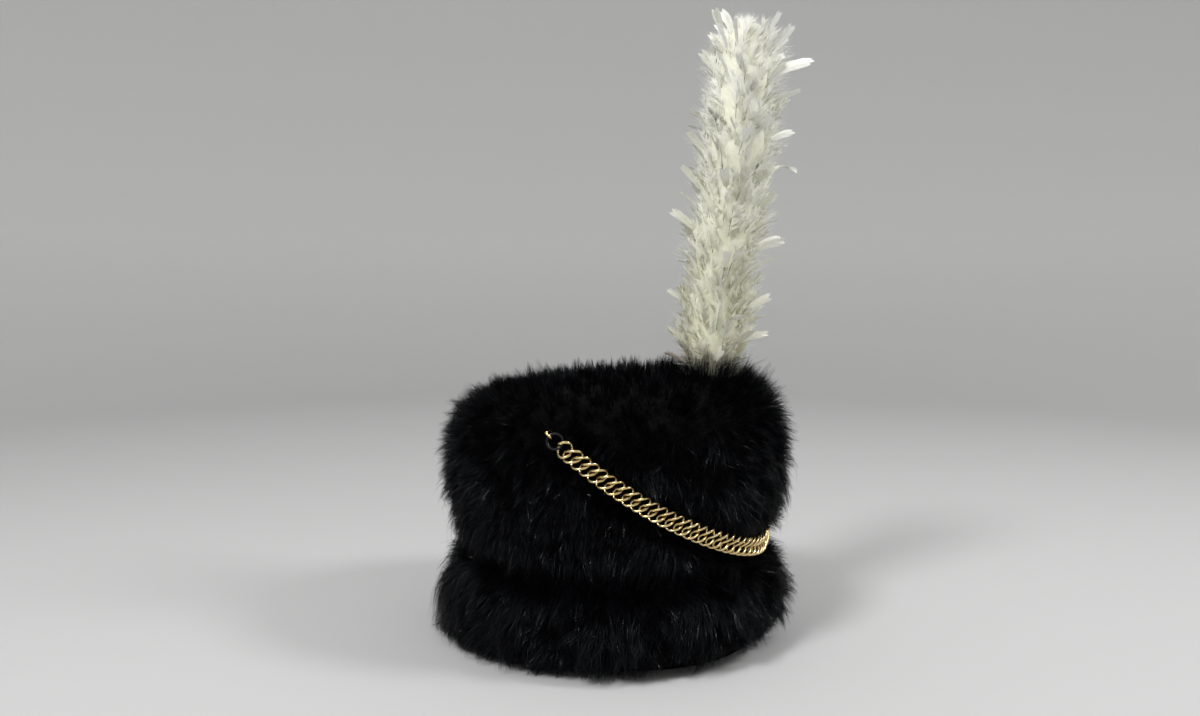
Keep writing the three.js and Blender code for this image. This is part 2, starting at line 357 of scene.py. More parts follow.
# Meshes from arrays
def add_piece(name, points, triangles, materials, slot, replaced, strand_map=None, normals=None, slots=None):
    """A piece riding on the hat in place of the replaced nodes. points are in millimetres, strand_map and
    normals are per point, and slots gives each triangle's material."""
    mesh = bpy.data.meshes.new(name)
    mesh.vertices.add(len(points))
    mesh.vertices.foreach_set("co", (points * MM).astype(np.float32).ravel())
    mesh.loops.add(triangles.size)
    mesh.loops.foreach_set("vertex_index", triangles.astype(np.int32).ravel())
    mesh.polygons.add(len(triangles))
    mesh.polygons.foreach_set("loop_start", np.arange(0, triangles.size, 3, dtype=np.int32))
    mesh.polygons.foreach_set("use_smooth", np.ones(len(triangles), dtype=bool))
    for material in materials:
        mesh.materials.append(material)
    if slots is not None:
        mesh.polygons.foreach_set("material_index", slots.astype(np.int32))
    if strand_map is not None:
        layer = mesh.uv_layers.new(name="OFBake")
        layer.data.foreach_set("uv", strand_map[triangles.ravel()].astype(np.float32).ravel())
    mesh.update(calc_edges=True)
    mesh.validate()
    if normals is not None:
        mesh.normals_split_custom_set_from_vertices(normals.tolist())
    piece = bpy.data.objects.new(name, mesh)
    bpy.context.scene.collection.objects.link(piece)
    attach(piece, "root")
    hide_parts(*replaced)


def ribbons(lines, widths, across, column, low=0.0, high=1.0, roundness=1.0):
    """Flat tapering strands. lines is (strands, points, 3), widths is (strands, points - 1), and the
    last point is the tip. The normals spread by the roundness to each side, so that a strand shades
    like a round one. Returns points, triangles, the strand map and the normals."""
    count, steps = lines.shape[:2]
    run = unit(np.gradient(lines, axis=1))
    side = unit(across[:, None, :] - run * np.sum(across[:, None, :] * run, axis=-1, keepdims=True))
    face = np.cross(side, run)
    edge = side[:, :-1] * widths[..., None] / 2
    pairs = np.stack([lines[:, :-1] - edge, lines[:, :-1] + edge], axis=2)
    points = np.concatenate([pairs.reshape(count, -1, 3), lines[:, -1:]], axis=1)
    turned = math.cos(roundness) * face, math.sin(roundness) * side
    both = np.stack([turned[0] - turned[1], turned[0] + turned[1]], axis=2)[:, :-1]
    normals = np.concatenate([both.reshape(count, -1, 3), face[:, -1:]], axis=1)
    faces = []
    for j in range(steps - 2):
        faces += [(2 * j, 2 * j + 1, 2 * j + 3), (2 * j, 2 * j + 3, 2 * j + 2)]
    last = 2 * (steps - 2)
    faces.append((last, last + 1, last + 2))
    each = points.shape[1]
    triangles = np.array(faces)[None] + (np.arange(count) * each)[:, None, None]
    u = (column[:, None] + np.append(np.tile([0.1, 0.9], steps - 1), 0.5)[None]) / COLUMNS
    share = np.append(np.repeat(np.arange(steps - 1), 2), steps - 1) / (steps - 1)
    low, high = np.broadcast_to(low, count)[:, None], np.broadcast_to(high, count)[:, None]
    v = np.clip(lerp(low, high, share[None]), 0.004, 0.996)
    strand_map = np.stack([u, v], axis=-1).reshape(-1, 2)
    return points.reshape(-1, 3), triangles.reshape(-1, 3), strand_map, normals.reshape(-1, 3)


def together(batches):
    """Several (points, triangles, strand map, normals) batches as one."""
    starts = np.cumsum([0] + [len(batch[0]) for batch in batches])
    triangles = np.concatenate([batch[1] + start for batch, start in zip(batches, starts)])
    points, maps, normals = (np.concatenate([batch[k] for batch in batches]) for k in (0, 2, 3))
    return points, triangles, maps, normals


def facing(lines, outward, rng, scatter):
    """Across directions that turn strands to face outward, with some scatter."""
    run = unit(lines[:, -1] - lines[:, 0])
    return unit(unit(np.cross(run, outward)) + rng.normal(0, scatter, run.shape))


def loft(rings):
    """Triangles through rings of equal counts. A ring of one point is a pole, and without poles the
    last ring joins the first."""
    starts = np.cumsum([0] + [len(ring) for ring in rings])
    triangles = []
    pairs = len(rings) - (1 if len(rings[0]) == 1 else 0)
    for r in range(pairs):
        s = (r + 1) % len(rings)
        sides = max(len(rings[r]), len(rings[s]))
        i = np.arange(sides)
        j = (i + 1) % sides
        low_i, low_j = (starts[r] + (k if len(rings[r]) > 1 else 0 * k) for k in (i, j))
        high_i, high_j = (starts[s] + (k if len(rings[s]) > 1 else 0 * k) for k in (i, j))
        if len(rings[r]) > 1:
            triangles.append(np.stack([low_i, low_j, high_i], axis=1))
        if len(rings[s]) > 1:
            triangles.append(np.stack([high_i, low_j, high_j], axis=1))
    return np.concatenate(rings), np.concatenate(triangles)


# The hide under the pile, closed round the head hollow
AROUND = 128
HIDE_DEPTH = {"share": 0.55, "least": 1.5, "most": 6.5, "low_front": 4.5}  # of the pile, over the hide
LOW_FRONT_HEIGHT = 42.0
TURNS = wrapped(np.arange(AROUND) / AROUND * 2 * np.pi)


def low_front(turn, height):
    """How far a place is to the front, and how low it is on the band."""
    return ((1 + np.cos(turn)) / 2) ** 1.5, np.clip(1 - height / LOW_FRONT_HEIGHT, 0, 1)


def hollow_ring(height, inset=0.0):
    ring = on_oval(TURNS, np.full(AROUND, -inset), np.zeros(AROUND))
    ring[:, 2] = height
    return ring


def hide_rings(pile, rng, rows, lowest, highest):
    rings = []
    for share in np.linspace(0, 1, rows):
        shares = np.full(AROUND, share)
        thickness = pile.thickness(TURNS, shares)
        front, low = low_front(TURNS, pile.outline(shares)[1])
        inset = np.clip(HIDE_DEPTH["share"] * thickness, HIDE_DEPTH["least"], HIDE_DEPTH["most"])
        inset = inset + HIDE_DEPTH["low_front"] * front * low
        inset = np.minimum(inset, np.maximum(thickness - 1, HIDE_DEPTH["least"]))
        inset = inset + rng.normal(0, 0.25, AROUND)
        ring = pile.at(TURNS, shares) - pile.frame(TURNS, shares)[0] * inset[:, None]
        ring[:, 2] = np.clip(ring[:, 2], lowest, highest)
        rings.append(ring)
    return rings


def add_hide(name, node, inner, outer, closing):
    points, triangles = loft([*inner, *outer, *closing])
    lining_faces = sum(len(ring) for ring in inner)
    slots = np.where(np.all(triangles < lining_faces, axis=1), 1, 0)
    add_piece(name, points, triangles, [HIDE, LINING], "fur", [node], slots=slots)


def add_hides(crown, band):
    rng = np.random.default_rng(SEED)
    foot = HEAD["depth"] - HEAD["shoulder"]
    shoulder = []
    for angle in np.linspace(np.pi / 2, 0, 9):
        inset = HEAD["shoulder"] * (1 - math.cos(angle))
        shoulder.append(hollow_ring(foot + HEAD["shoulder"] * math.sin(angle), inset))
    walls = [hollow_ring(height) for height in np.linspace(foot, SEAM + HALF_GAP, 9)[1:]]
    ceiling = np.array([[0, 0, HEAD["depth"]]])
    outer = hide_rings(crown, rng, 64, SEAM + HALF_GAP, 1e3)
    top = np.array([[0, 0, outer[-1][:, 2].mean()]])
    add_hide("fur_crown_hide", "fur_crown", [ceiling, *shoulder, *walls], outer, [top])
    band_walls = [hollow_ring(height) for height in np.linspace(SEAM - HALF_GAP, 0, 7)]
    band_outer = hide_rings(band, rng, 32, 0, SEAM - HALF_GAP)
    add_hide("fur_band_hide", "fur_band", band_walls, band_outer, [])


# The pile. Each row of a lay table gives, at that height: the lean of the hair away from the
# surface's normal towards the way down, how far its tips stand out of the solid, and how that varies.
HAIR_GROOVE = 9.5  # half the width that the chain presses into the hair
CROWN_LAY = [
    # height, lean, tip, spread
    (69, 0.75, 2.0, 1.6),
    (78, 0.8, 0.5, 1.8),
    (100, 0.7, 0.0, 2.0),
    (130, 0.6, 0.5, 2.2),
    (155, 0.42, 1.2, 3.0),
    (172, 0.22, 0.5, 3.8),
    (184, 0.12, -1.5, 4.0),
    (191, 0.1, -3.0, 3.6),
]
BAND_LAY = [
    (0, 1.1, -0.5, 1.2),
    (16, 1.05, 0.5, 1.8),
    (35, 1.0, 0.5, 2.0),
    (55, 0.8, 0.5, 2.0),
    (69, 0.45, 1.5, 1.6),
]
FLOOR_CLEAR = 0.5
# Tufts: hairs in one, its size, the pull of its tips to its middle, and how far it stands out
UNDERCOAT = {"hairs": 8, "size": 1.7, "pull": 0.4, "rise": -0.5}
LOCK = {"hairs": 16, "size": 2.9, "pull": 0.85, "rise": 2.2}
HAIR_WIDTH = (0.22, 0.36)
WISP_WIDTH = (0.16, 0.24)
# Where the lay differs from its table
OVER_CHAIN = {"above": 13.0, "half": 8.0, "straighter": 0.5}
LOW_FRONT = {"tuck": 11.0, "straighter": 0.7}
CREASE = {"turn": 1.35, "half_turn": 0.75, "half_height": 11.0, "fill": 9.0}
RUFF = {"rise": 19.0, "reach": 27.0}  # the hair that stands up round the plume
DRIFT = {"lean": 0.22, "sweep": 0.5, "tip": 1.6}


class Drift:
    """A smooth seeded field over space, from -1 to 1 or so, that gathers the hair in locks."""

    def __init__(self, seed, shortest, longest, waves=14):
        rng = np.random.default_rng(seed)
        lengths = rng.uniform(shortest, longest, waves)
        self.ways = unit(rng.normal(0, 1, (waves, 3))) * (2 * np.pi / lengths)[:, None]
        self.starts = rng.uniform(0, 2 * np.pi, waves)

    def at(self, points):
        return np.sin(points @ self.ways.T + self.starts).sum(axis=1) / math.sqrt(len(self.starts))


LEAN_DRIFT = Drift(SEED + 1, 16, 50)
SWEEP_DRIFT = Drift(SEED + 2, 18, 70)
TIP_DRIFT = Drift(SEED + 3, 12, 34)


def lay_at(table, turn, height, points):
    """Lean, tip and spread there. Hair right above the chain stands out instead of falling over it,
    the low front is tucked in, the sides of the crease fill up, and hair stands up round the plume."""
    turn = wrapped(turn)
    columns = np.array(table, float).T
    lean, tip, spread = (np.interp(height, columns[0], column) for column in columns[1:])
    above_chain = (height - chain_height(turn) - OVER_CHAIN["above"]) / OVER_CHAIN["half"]
    over_chain = np.exp(-(above_chain**2)) * (np.abs(turn) < CHAIN["eye_turn"])
    front, low = low_front(turn, height)
    aside = (np.abs(turn) - CREASE["turn"]) / CREASE["half_turn"]
    crease = np.exp(-(aside**2) - ((height - SEAM) / CREASE["half_height"]) ** 2)
    from_plume = np.hypot(points[:, 0], points[:, 1] + PLUME["forward"])
    ruff = np.exp(-((from_plume / RUFF["reach"]) ** 2))
    tip = tip - LOW_FRONT["tuck"] * front * low + CREASE["fill"] * crease + RUFF["rise"] * ruff
    lean = lean * (1 - OVER_CHAIN["straighter"] * over_chain)
    lean = lean * (1 - LOW_FRONT["straighter"] * front * np.sqrt(low))
    return lean + DRIFT["lean"] * LEAN_DRIFT.at(points), tip + DRIFT["tip"] * TIP_DRIFT.at(points), spread


def strand_lines(roots, frames, lean, sweep, length, bends):
    """Lines that start at the roots near the normal and bend over towards the lay, in equal steps.
    bends gives each step's share of the lean."""
    out, down, around = frames
    lay = down * np.cos(sweep)[:, None] + around * np.sin(sweep)[:, None]
    lines = [roots]
    for bend in bends:
        angle = (lean * bend)[:, None]
        step = out * np.cos(angle) + lay * np.sin(angle)
        lines.append(lines[-1] + step * (length / len(bends))[:, None])
    return np.stack(lines, axis=1)


def above_floor(lines, rng):
    lines[..., 2] = np.maximum(lines[..., 2], FLOOR_CLEAR + 1.5 * rng.random(lines.shape[:2]))
    return lines


def tuft_pile(rng, pile, table, tufts, kind, patch):
    """Tufts of short hairs that lean together at their tips."""
    bends = (0.55, 1.2)
    turn, share = pile.scatter(rng, tufts, **patch)
    height = pile.outline(share)[1]
    frames = pile.frame(turn, share)
    surface = pile.at(turn, share)
    lean, tip, spread = lay_at(table, turn, height, surface)
    lean = lean + rng.normal(0, 0.14, tufts)
    sweep = DRIFT["sweep"] * SWEEP_DRIFT.at(surface) + rng.normal(0, 0.28, tufts)
    depth = np.clip(0.8 * pile.thickness(turn, share), 2.5, 10.0)
    free = 1 - 0.85 * pile.pressed(turn, share)
    tip = (tip + kind["rise"] + spread * np.clip(rng.normal(0, 1, tufts), -1.5, 2.2)) * free
    rise = np.mean([np.cos(lean * b) for b in bends], axis=0)
    length = np.maximum(2.0, depth + tip) / np.maximum(rise, 0.3)
    roots = surface - frames[0] * depth[:, None]
    middle = strand_lines(roots, frames, lean, sweep, length, bends)

    owner = np.repeat(np.arange(tufts), kind["hairs"])
    count = len(owner)
    away_turn = rng.normal(0, kind["size"], count) / (HEAD["width"] / 2 + 20)
    away_share = rng.normal(0, kind["size"], count) / pile.length
    hair_turn = turn[owner] + away_turn
    hair_share = np.clip(share[owner] + away_share, 0.0, 1.0)
    own_frames = [axis[owner] for axis in frames]
    own_roots = pile.at(hair_turn, hair_share) - own_frames[0] * depth[owner][:, None]
    own = strand_lines(
        own_roots,
        own_frames,
        lean[owner] + rng.normal(0, 0.14, count),
        sweep[owner] + rng.normal(0, 0.25, count),
        length[owner] * rng.uniform(0.75, 1.05, count),
        bends,
    )
    pull = kind["pull"] * rng.uniform(0.5, 1.3, count)
    pulls = np.minimum(np.array([0.0, 0.4, 1.0])[None, :, None] * pull[:, None, None], 0.95)
    lines = above_floor(lerp(own, middle[owner], pulls), rng)
    width = rng.uniform(*HAIR_WIDTH, count)
    widths = np.stack([width, width * 0.85], axis=1)
    across = facing(lines, own_frames[0], rng, 0.5)
    return ribbons(lines, widths, across, rng.integers(0, COLUMNS, count))


def wisp_pile(rng, pile, table, wisps, patch):
    """Single longer guard hairs that stand out of the pile."""
    bends = (0.5, 0.95, 1.3)
    turn, share = pile.scatter(rng, wisps, **patch)
    height = pile.outline(share)[1]
    frames = pile.frame(turn, share)
    surface = pile.at(turn, share)
    lean, tip, spread = lay_at(table, turn, height, surface)
    lean = lean + rng.normal(0, 0.25, wisps)
    sweep = DRIFT["sweep"] * SWEEP_DRIFT.at(surface) + rng.normal(0, 0.5, wisps)
    depth = np.clip(0.6 * pile.thickness(turn, share), 2.0, 7.0)
    free = 1 - 0.95 * pile.pressed(turn, share)
    tip = (tip + 1.0 + np.minimum(rng.gamma(1.8, 1.4, wisps), 7.0)) * free
    rise = np.mean([np.cos(lean * b) for b in bends], axis=0)
    length = np.minimum((depth + tip) / np.maximum(rise, 0.35), 30.0)
    roots = surface - frames[0] * depth[:, None]
    lines = above_floor(strand_lines(roots, frames, lean, sweep, length, bends), rng)
    width = rng.uniform(*WISP_WIDTH, wisps)
    widths = np.stack([width, width * 0.85, width * 0.6], axis=1)
    across = facing(lines, frames[0], rng, 0.8)
    return ribbons(lines, widths, across, rng.integers(0, COLUMNS, wisps))


def add_fur(crown, band):
    side_top = np.interp(160, crown.height, crown.share)
    right = {"first": -np.pi, "last": 0.0}
    left = {"first": 0.0, "last": np.pi}
    sides = {"low": 0.0, "high": side_top}
    top = {"low": side_top, "high": 1.0}
    # name, pile, lay, undercoat tufts, locks, wisps, patch
    patches = [
        ("fur_crown_right", crown, CROWN_LAY, 3000, 1000, 1700, {**sides, **right}),
        ("fur_crown_left", crown, CROWN_LAY, 3000, 1000, 1700, {**sides, **left}),
        ("fur_crown_top", crown, CROWN_LAY, 3000, 1500, 2200, top),
        ("fur_band_right", band, BAND_LAY, 2500, 850, 1300, right),
        ("fur_band_left", band, BAND_LAY, 2500, 850, 1300, left),
    ]
    for index, (name, pile, table, undercoat, locks, wisps, patch) in enumerate(patches):
        rng = np.random.default_rng(SEED + 10 + index)
        strands = [
            tuft_pile(rng, pile, table, undercoat, UNDERCOAT, patch),
            tuft_pile(rng, pile, table, locks, LOCK, patch),
            wisp_pile(rng, pile, table, wisps, patch),
        ]
        points, triangles, strand_map, normals = together(strands)
        node = "fur_crown" if pile is crown else "fur_band"
        glossy = strand_map[triangles[:, 0], 0] * COLUMNS >= GUARD_COLUMN
        hair = [HAIR, GUARD_HAIR]
        add_piece(name, points, triangles, hair, "fur", [node], strand_map, normals, glossy)


# The plume
PLUME = {"forward": 69.0, "lean": math.radians(6.5), "foot": -12.0, "head": 214.0, "tip": 243.0}
# along the axis from the top of the crown, radius
PLUME_SECTIONS = [
    (-9, 17),
    (0, 20),
    (16, 25.5),
    (45, 28),
    (80, 27),
    (115, 29),
    (150, 28),
    (190, 29),
    (213, 27),
    (229, 20),
    (239, 10),
    (243, 4),
]
PLUME_AXIS = np.array([0.0, -math.sin(PLUME["lean"]), math.cos(PLUME["lean"])])
PLUME_FOOT = np.array([0.0, -PLUME["forward"], TOP_HEIGHT])
PLUME_SIDE = np.array([1.0, 0.0, 0.0])
PLUME_FRONT = np.cross(PLUME_AXIS, PLUME_SIDE)
# along the axis, share of the radius: the plume swells in tiers
PLUME_TIERS = [
    (-12, 0.85),
    (25, 1.1),
    (53, 0.83),
    (90, 1.09),
    (126, 0.83),
    (155, 1.08),
    (177, 0.85),
    (212, 1.08),
]
CORE_SHARE = 0.58  # of the radius: the packed down that the feathers stand out of
QUILL_STEPS = 11
PETAL_BASE = 5.0  # from the plume's axis to where a petal's quill starts
NEAR_TOP = (175, 45)  # along the axis: where the feathers start to stand up, and over what length
IMAGE_RIGHT = math.radians(-75)  # turn of a feather that points to the right in the main view
IMAGE_LEFT = IMAGE_RIGHT + math.pi
# Feathers that stand out of the rest: along the axis, turn, lean at the foot and at the tip, length
STRAYS = [
    (210, IMAGE_LEFT, 0.25, 0.8, 36),
    (207, IMAGE_LEFT - 0.4, 0.4, 0.9, 33),
    (196, IMAGE_LEFT + 0.2, 0.5, 0.95, 36),
    (184, IMAGE_LEFT, 0.6, 0.9, 38),
    (196, IMAGE_RIGHT, 0.9, 1.35, 46),
    (192, IMAGE_RIGHT - 0.25, 0.9, 1.3, 42),
    (200, IMAGE_RIGHT + 0.3, 0.5, 0.9, 38),
    (171, IMAGE_RIGHT - 0.2, 0.8, 1.25, 40),
    (146, IMAGE_RIGHT, 0.8, 1.25, 41),
    (129, IMAGE_RIGHT, 0.9, 1.9, 46),
    (128, IMAGE_LEFT, 0.6, 1.0, 43),
    (102, IMAGE_LEFT + 0.1, 0.6, 0.95, 46),
    (82, IMAGE_LEFT - 0.2, 0.8, 1.2, 40),
    (76, IMAGE_RIGHT, 0.9, 1.4, 42),
    (73, IMAGE_RIGHT - 0.35, 0.9, 1.3, 40),
    (50, IMAGE_RIGHT, 0.6, 1.1, 44),
    (28, IMAGE_LEFT, 0.7, 1.3, 38),
    (27, IMAGE_RIGHT, 0.7, 1.1, 40),
    (12, IMAGE_RIGHT - 0.2, 0.9, 1.4, 36),
]
PETALS = 90
SOFT_FEATHERS = 400
LOOSE_BARBS = 9000
PUFF_DRIFT = Drift(SEED + 4, 22, 60)


def spokes(turn):
    return np.cos(turn)[:, None] * PLUME_SIDE + np.sin(turn)[:, None] * PLUME_FRONT


def plume_radius(along):
    sections, tiers = np.array(PLUME_SECTIONS, float).T, np.array(PLUME_TIERS, float).T
    return np.interp(along, *sections) * np.interp(along, *tiers)


def core_points(along, turn):
    """Places on the packed down, which is lumpy."""
    spoke = spokes(turn)
    axis_point = PLUME_FOOT + along[:, None] * PLUME_AXIS
    even = axis_point + spoke * plume_radius(along)[:, None]
    radius = plume_radius(along) * CORE_SHARE * (1 + 0.09 * PUFF_DRIFT.at(even))
    return axis_point + spoke * radius[:, None], spoke


def painted_shade_column(rng, along):
    """The strand map's column at that place along the plume: darker and warmer towards the foot, partly the
    down's own tone and partly painted shade of the foot.
    """
    share = (along - PLUME["foot"]) / (PLUME["tip"] - PLUME["foot"])
    shade = np.clip(share * 0.8 + rng.uniform(0, 0.2, len(along)), 0, 0.999)
    return (shade * COLUMNS).astype(int)


def near_top_at(along):
    return np.clip((along - NEAR_TOP[0]) / NEAR_TOP[1], 0, 1)


def spiral_places(rng, count, last):
    """Along and turn of places that wind evenly up the plume."""
    order = (np.arange(count) + rng.uniform(-0.5, 0.5, count)) / count
    along = lerp(PLUME["foot"], last, np.clip(order, 0, 1))
    return along, np.arange(count) * 2.39996 + rng.normal(0, 0.25, count)


def plume_core(rng):
    rings, sides = 84, 44
    along = np.linspace(PLUME["foot"], PLUME["tip"] - 8, rings)
    turn = np.arange(sides) / sides * 2 * np.pi
    grid_along, grid_turn = np.repeat(along, sides), np.tile(turn, rings)
    points, spoke = core_points(grid_along, grid_turn)
    closed = [PLUME_FOOT + along[:1, None] * PLUME_AXIS, *points.reshape(rings, sides, 3)]
    closed.append(PLUME_FOOT + along[-1:, None] * PLUME_AXIS)
    all_points, triangles = loft(closed)
    all_along = np.concatenate([along[:1], grid_along, along[-1:]])
    u = (painted_shade_column(rng, all_along) + 0.5) / COLUMNS
    # The core takes low, darker values of the along ramp: painted shade in the recesses between the
    # feathers.
    strand_map = np.stack([u, rng.uniform(0.1, 0.35, len(u))], axis=1)
    normals = np.concatenate([-PLUME_AXIS[None], spoke, PLUME_AXIS[None]])
    return all_points, triangles, strand_map, normals


def soft_table(rng, count):
    """Along, turn, both leans, length, start radius and roll of the downy feathers."""
    along, turn = spiral_places(rng, count, PLUME["head"] + 4)
    near_top = near_top_at(along)
    first_lean = rng.uniform(0.15, 0.6, count) * (1 - 0.5 * near_top)
    last_lean = lerp(rng.uniform(0.6, 1.35, count), rng.uniform(0.0, 0.6, count), near_top)
    length = rng.uniform(20, 29, count)
    length = np.minimum(length, np.maximum(PLUME["tip"] - 6 - along, 12))
    base = plume_radius(along) * rng.uniform(0.35, 0.65, count) * (1 - 0.35 * near_top)
    roll = rng.normal(0, 0.6, count)
    return np.stack([along, turn, first_lean, last_lean, length, base, roll], axis=1)


def petal_table(rng, count):
    """The same for the rounded feathers, which stand out further, and then for the strays."""
    along, turn = spiral_places(rng, count, PLUME["head"])
    near_top = near_top_at(along)
    first_lean = lerp(rng.uniform(0.5, 0.9, count), rng.uniform(0.05, 0.6, count), near_top)
    last_lean = lerp(rng.uniform(0.8, 1.6, count), rng.uniform(0.1, 1.0, count), near_top)
    mean_lean = first_lean + (last_lean - first_lean) / 2.6
    wanted = plume_radius(along + 18) * rng.uniform(1.0, 1.4, count) - PETAL_BASE
    length = np.clip(wanted / np.sin(np.maximum(mean_lean, 0.2)), 24.0, 42.0)
    room = (PLUME["tip"] - 3 - along) / np.cos(mean_lean)
    length = np.minimum(length, np.maximum(room, 16.0))
    spiral = np.stack([along, turn, first_lean, last_lean, length], axis=1)
    rows = np.concatenate([spiral, np.array(STRAYS)])
    roll = np.concatenate([rng.uniform(-1.5, 1.5, count), rng.normal(1.4, 0.25, len(STRAYS))])
    return np.column_stack([rows, np.full(len(rows), PETAL_BASE), roll])


def feather_quills(rng, table):
    """Middle lines of the feathers: (feathers, steps, 3), with their way along, across and in."""
    along, turn, first_lean, last_lean, length, base, roll = table.T
    count = len(table)
    share = np.linspace(0, 1, QUILL_STEPS)
    lean = first_lean[:, None] + (last_lean - first_lean)[:, None] * share[None] ** 1.6
    twist = rng.normal(0, 0.3, count)[:, None] * share[None]
    spoke = spokes(turn)
    tangent = np.cross(PLUME_AXIS, spoke)
    way = (
        np.cos(lean)[..., None] * PLUME_AXIS
        + (np.sin(lean) * np.cos(twist))[..., None] * spoke[:, None]
        + (np.sin(lean) * np.sin(twist))[..., None] * tangent[:, None]
    )
    start = PLUME_FOOT + along[:, None] * PLUME_AXIS + base[:, None] * spoke
    moves = way[:, :-1] * (length / (QUILL_STEPS - 1))[:, None, None]
    quills = np.concatenate([start[:, None], start[:, None] + np.cumsum(moves, axis=1)], axis=1)
    across = tangent * np.cos(roll)[:, None] + spoke * np.sin(roll)[:, None]
    across = unit(across[:, None] - way * np.sum(across[:, None] * way, axis=-1, keepdims=True))
    return spoke, length, quills, way, across, np.cross(way, across)


def along_quill(values, share):
    """Values at these shares of each quill: (feathers, barbs, 3)."""
    at = share * (QUILL_STEPS - 1)
    low = np.minimum(at.astype(int), QUILL_STEPS - 2)
    part = (at - low)[..., None]
    rows = np.arange(len(values))[:, None]
    return lerp(values[rows, low], values[rows, low + 1], part)


def softened(strands, outward, each, share):
    """The strands with their normals turned by that share towards the outward way of each."""
    points, triangles, strand_map, normals = strands
    ways = np.repeat(outward, each, axis=0)
    return points, triangles, strand_map, unit(lerp(normals, ways, share))


def vanes(rng, feathers, column, kind):
    """Both vanes of the feathers, from close barbs whose tips part by the kind's fringe."""
    spoke, length, quills, way, across, inward = feathers
    count, barbs = len(length), kind["barbs"]
    half_width = rng.uniform(*kind["half_width"], count)
    cup = rng.uniform(*kind["cup"], count)
    vane_start = 1 - np.minimum(rng.uniform(*kind["vane"], count) / length, 0.92)
    place = (np.arange(barbs) + 0.5) / barbs
    share = lerp(vane_start[:, None], 1.0, place[None])
    form = (1 - place ** kind["taper"]) ** 0.7 * np.minimum(1, 0.55 + place)
    batches = []
    for side in (-1, 1):
        splits = np.repeat(rng.normal(0, 1, (count, barbs // 4)), 4, axis=1)
        splits = splits + 0.6 * rng.normal(0, 1, (count, barbs))
        reach = half_width[:, None] * form[None] * np.clip(1 + kind["fringe"] * splits, 0.3, 1.6)
        spread = np.radians(lerp(58, 24, place))[None] + 0.4 * kind["fringe"] * splits
        spread = np.maximum(spread, 0.3)
        values = (quills, way, across * side, inward)
        root, ahead, aside, under = (along_quill(value, share) for value in values)
        lines = [root]
        for bend in (1.0, 0.7, 0.4):
            angle = spread * bend
            step = np.cos(angle)[..., None] * ahead + np.sin(angle)[..., None] * aside
            curl = cup[:, None] * np.sin(angle) + 0.3 * kind["fringe"] * splits
            step = step + curl[..., None] * under
            lines.append(lines[-1] + unit(step) * (reach / np.sin(spread) / 3)[..., None])
        lines = np.stack(lines, axis=2).reshape(-1, 4, 3)
        width = np.repeat(length * (1 - vane_start) / barbs * kind["cover"], barbs)
        widths = np.stack([width, width * 0.95, width * kind["tip_width"]], axis=1)
        # The kind's shade places each barb on the along ramp. Barbs are lower and darker near the vane's
        # start, and lower still on the downy feathers: painted shade of the overlapping feathers.
        low = np.tile(lerp(*kind["shade"], place), count)
        turned = (-side * ahead).reshape(-1, 3)
        strands = ribbons(lines, widths, turned, np.repeat(column, barbs), low, low + 0.25, 0.25)
        batches.append(softened(strands, np.repeat(spoke, barbs, axis=0), 7, kind["soft"]))
    thin = np.linspace(0.6, 0.2, QUILL_STEPS - 1)[None] * np.ones((count, 1))
    quill = ribbons(quills, thin, -across[:, 0], column, 0.3, 0.95)
    batches.append(softened(quill, spoke, 2 * QUILL_STEPS - 1, 0.6))
    return together(batches)


SOFT_FEATHER = {
    "barbs": 44,
    "half_width": (6.0, 10.5),
    "cup": (0.0, 0.8),
    "vane": (17.0, 27.0),
    "taper": 2.5,
    "fringe": 0.5,
    "cover": 1.1,
    "tip_width": 0.22,
    "shade": (0.2, 0.7),
    "soft": 0.65,
}
PETAL = {
    "barbs": 28,
    "half_width": (2.8, 4.8),
    "cup": (-0.1, 0.45),
    "vane": (12.0, 20.0),
    "taper": 5,
    "fringe": 0.08,
    "cover": 1.5,
    "tip_width": 0.8,
    "shade": (0.55, 0.75),
    "soft": 0.35,
}


def down_halo(rng, count):
    """Single fine barbs that stand out of the plume all round."""
    along = rng.uniform(PLUME["foot"], PLUME["head"] + 10, count)
    base, spoke = core_points(along, rng.uniform(-np.pi, np.pi, count))
    base = base + spoke * (plume_radius(along) * rng.uniform(0.0, 0.3, count))[:, None]
    heading = spoke + PLUME_AXIS * rng.uniform(-0.1, 1.1, (count, 1)) + rng.normal(0, 0.3, (count, 3))
    reach = rng.uniform(9, 15, (count, 1))
    lines = [base]
    for _ in range(3):
        lines.append(lines[-1] + unit(heading) * reach / 3)
        heading = unit(heading) + 0.1 * PLUME_AXIS + rng.normal(0, 0.15, (count, 3))
    lines = np.stack(lines, axis=1)
    width = rng.uniform(0.09, 0.15, count)
    widths = np.stack([width, width * 0.9, width * 0.7], axis=1)
    across = facing(lines, spoke, rng, 0.6)
    strands = ribbons(lines, widths, across, painted_shade_column(rng, along), 0.4, 0.95, 0.5)
    return softened(strands, spoke, 7, 0.6)


def add_plume():
    rng = np.random.default_rng(SEED + 50)
    petals = petal_table(rng, PETALS)
    soft = soft_table(rng, SOFT_FEATHERS)
    petal_vanes = vanes(rng, feather_quills(rng, petals), painted_shade_column(rng, petals[:, 0]), PETAL)
    soft_vanes = vanes(rng, feather_quills(rng, soft), painted_shade_column(rng, soft[:, 0]), SOFT_FEATHER)
    feathers = together([plume_core(rng), petal_vanes, down_halo(rng, LOOSE_BARBS)])
    for name, strands in (("plume_feathers", feathers), ("plume_down", soft_vanes)):
        points, triangles, strand_map, normals = strands
        add_piece(name, points, triangles, [FEATHER], "feather", ["plume"], strand_map, normals)


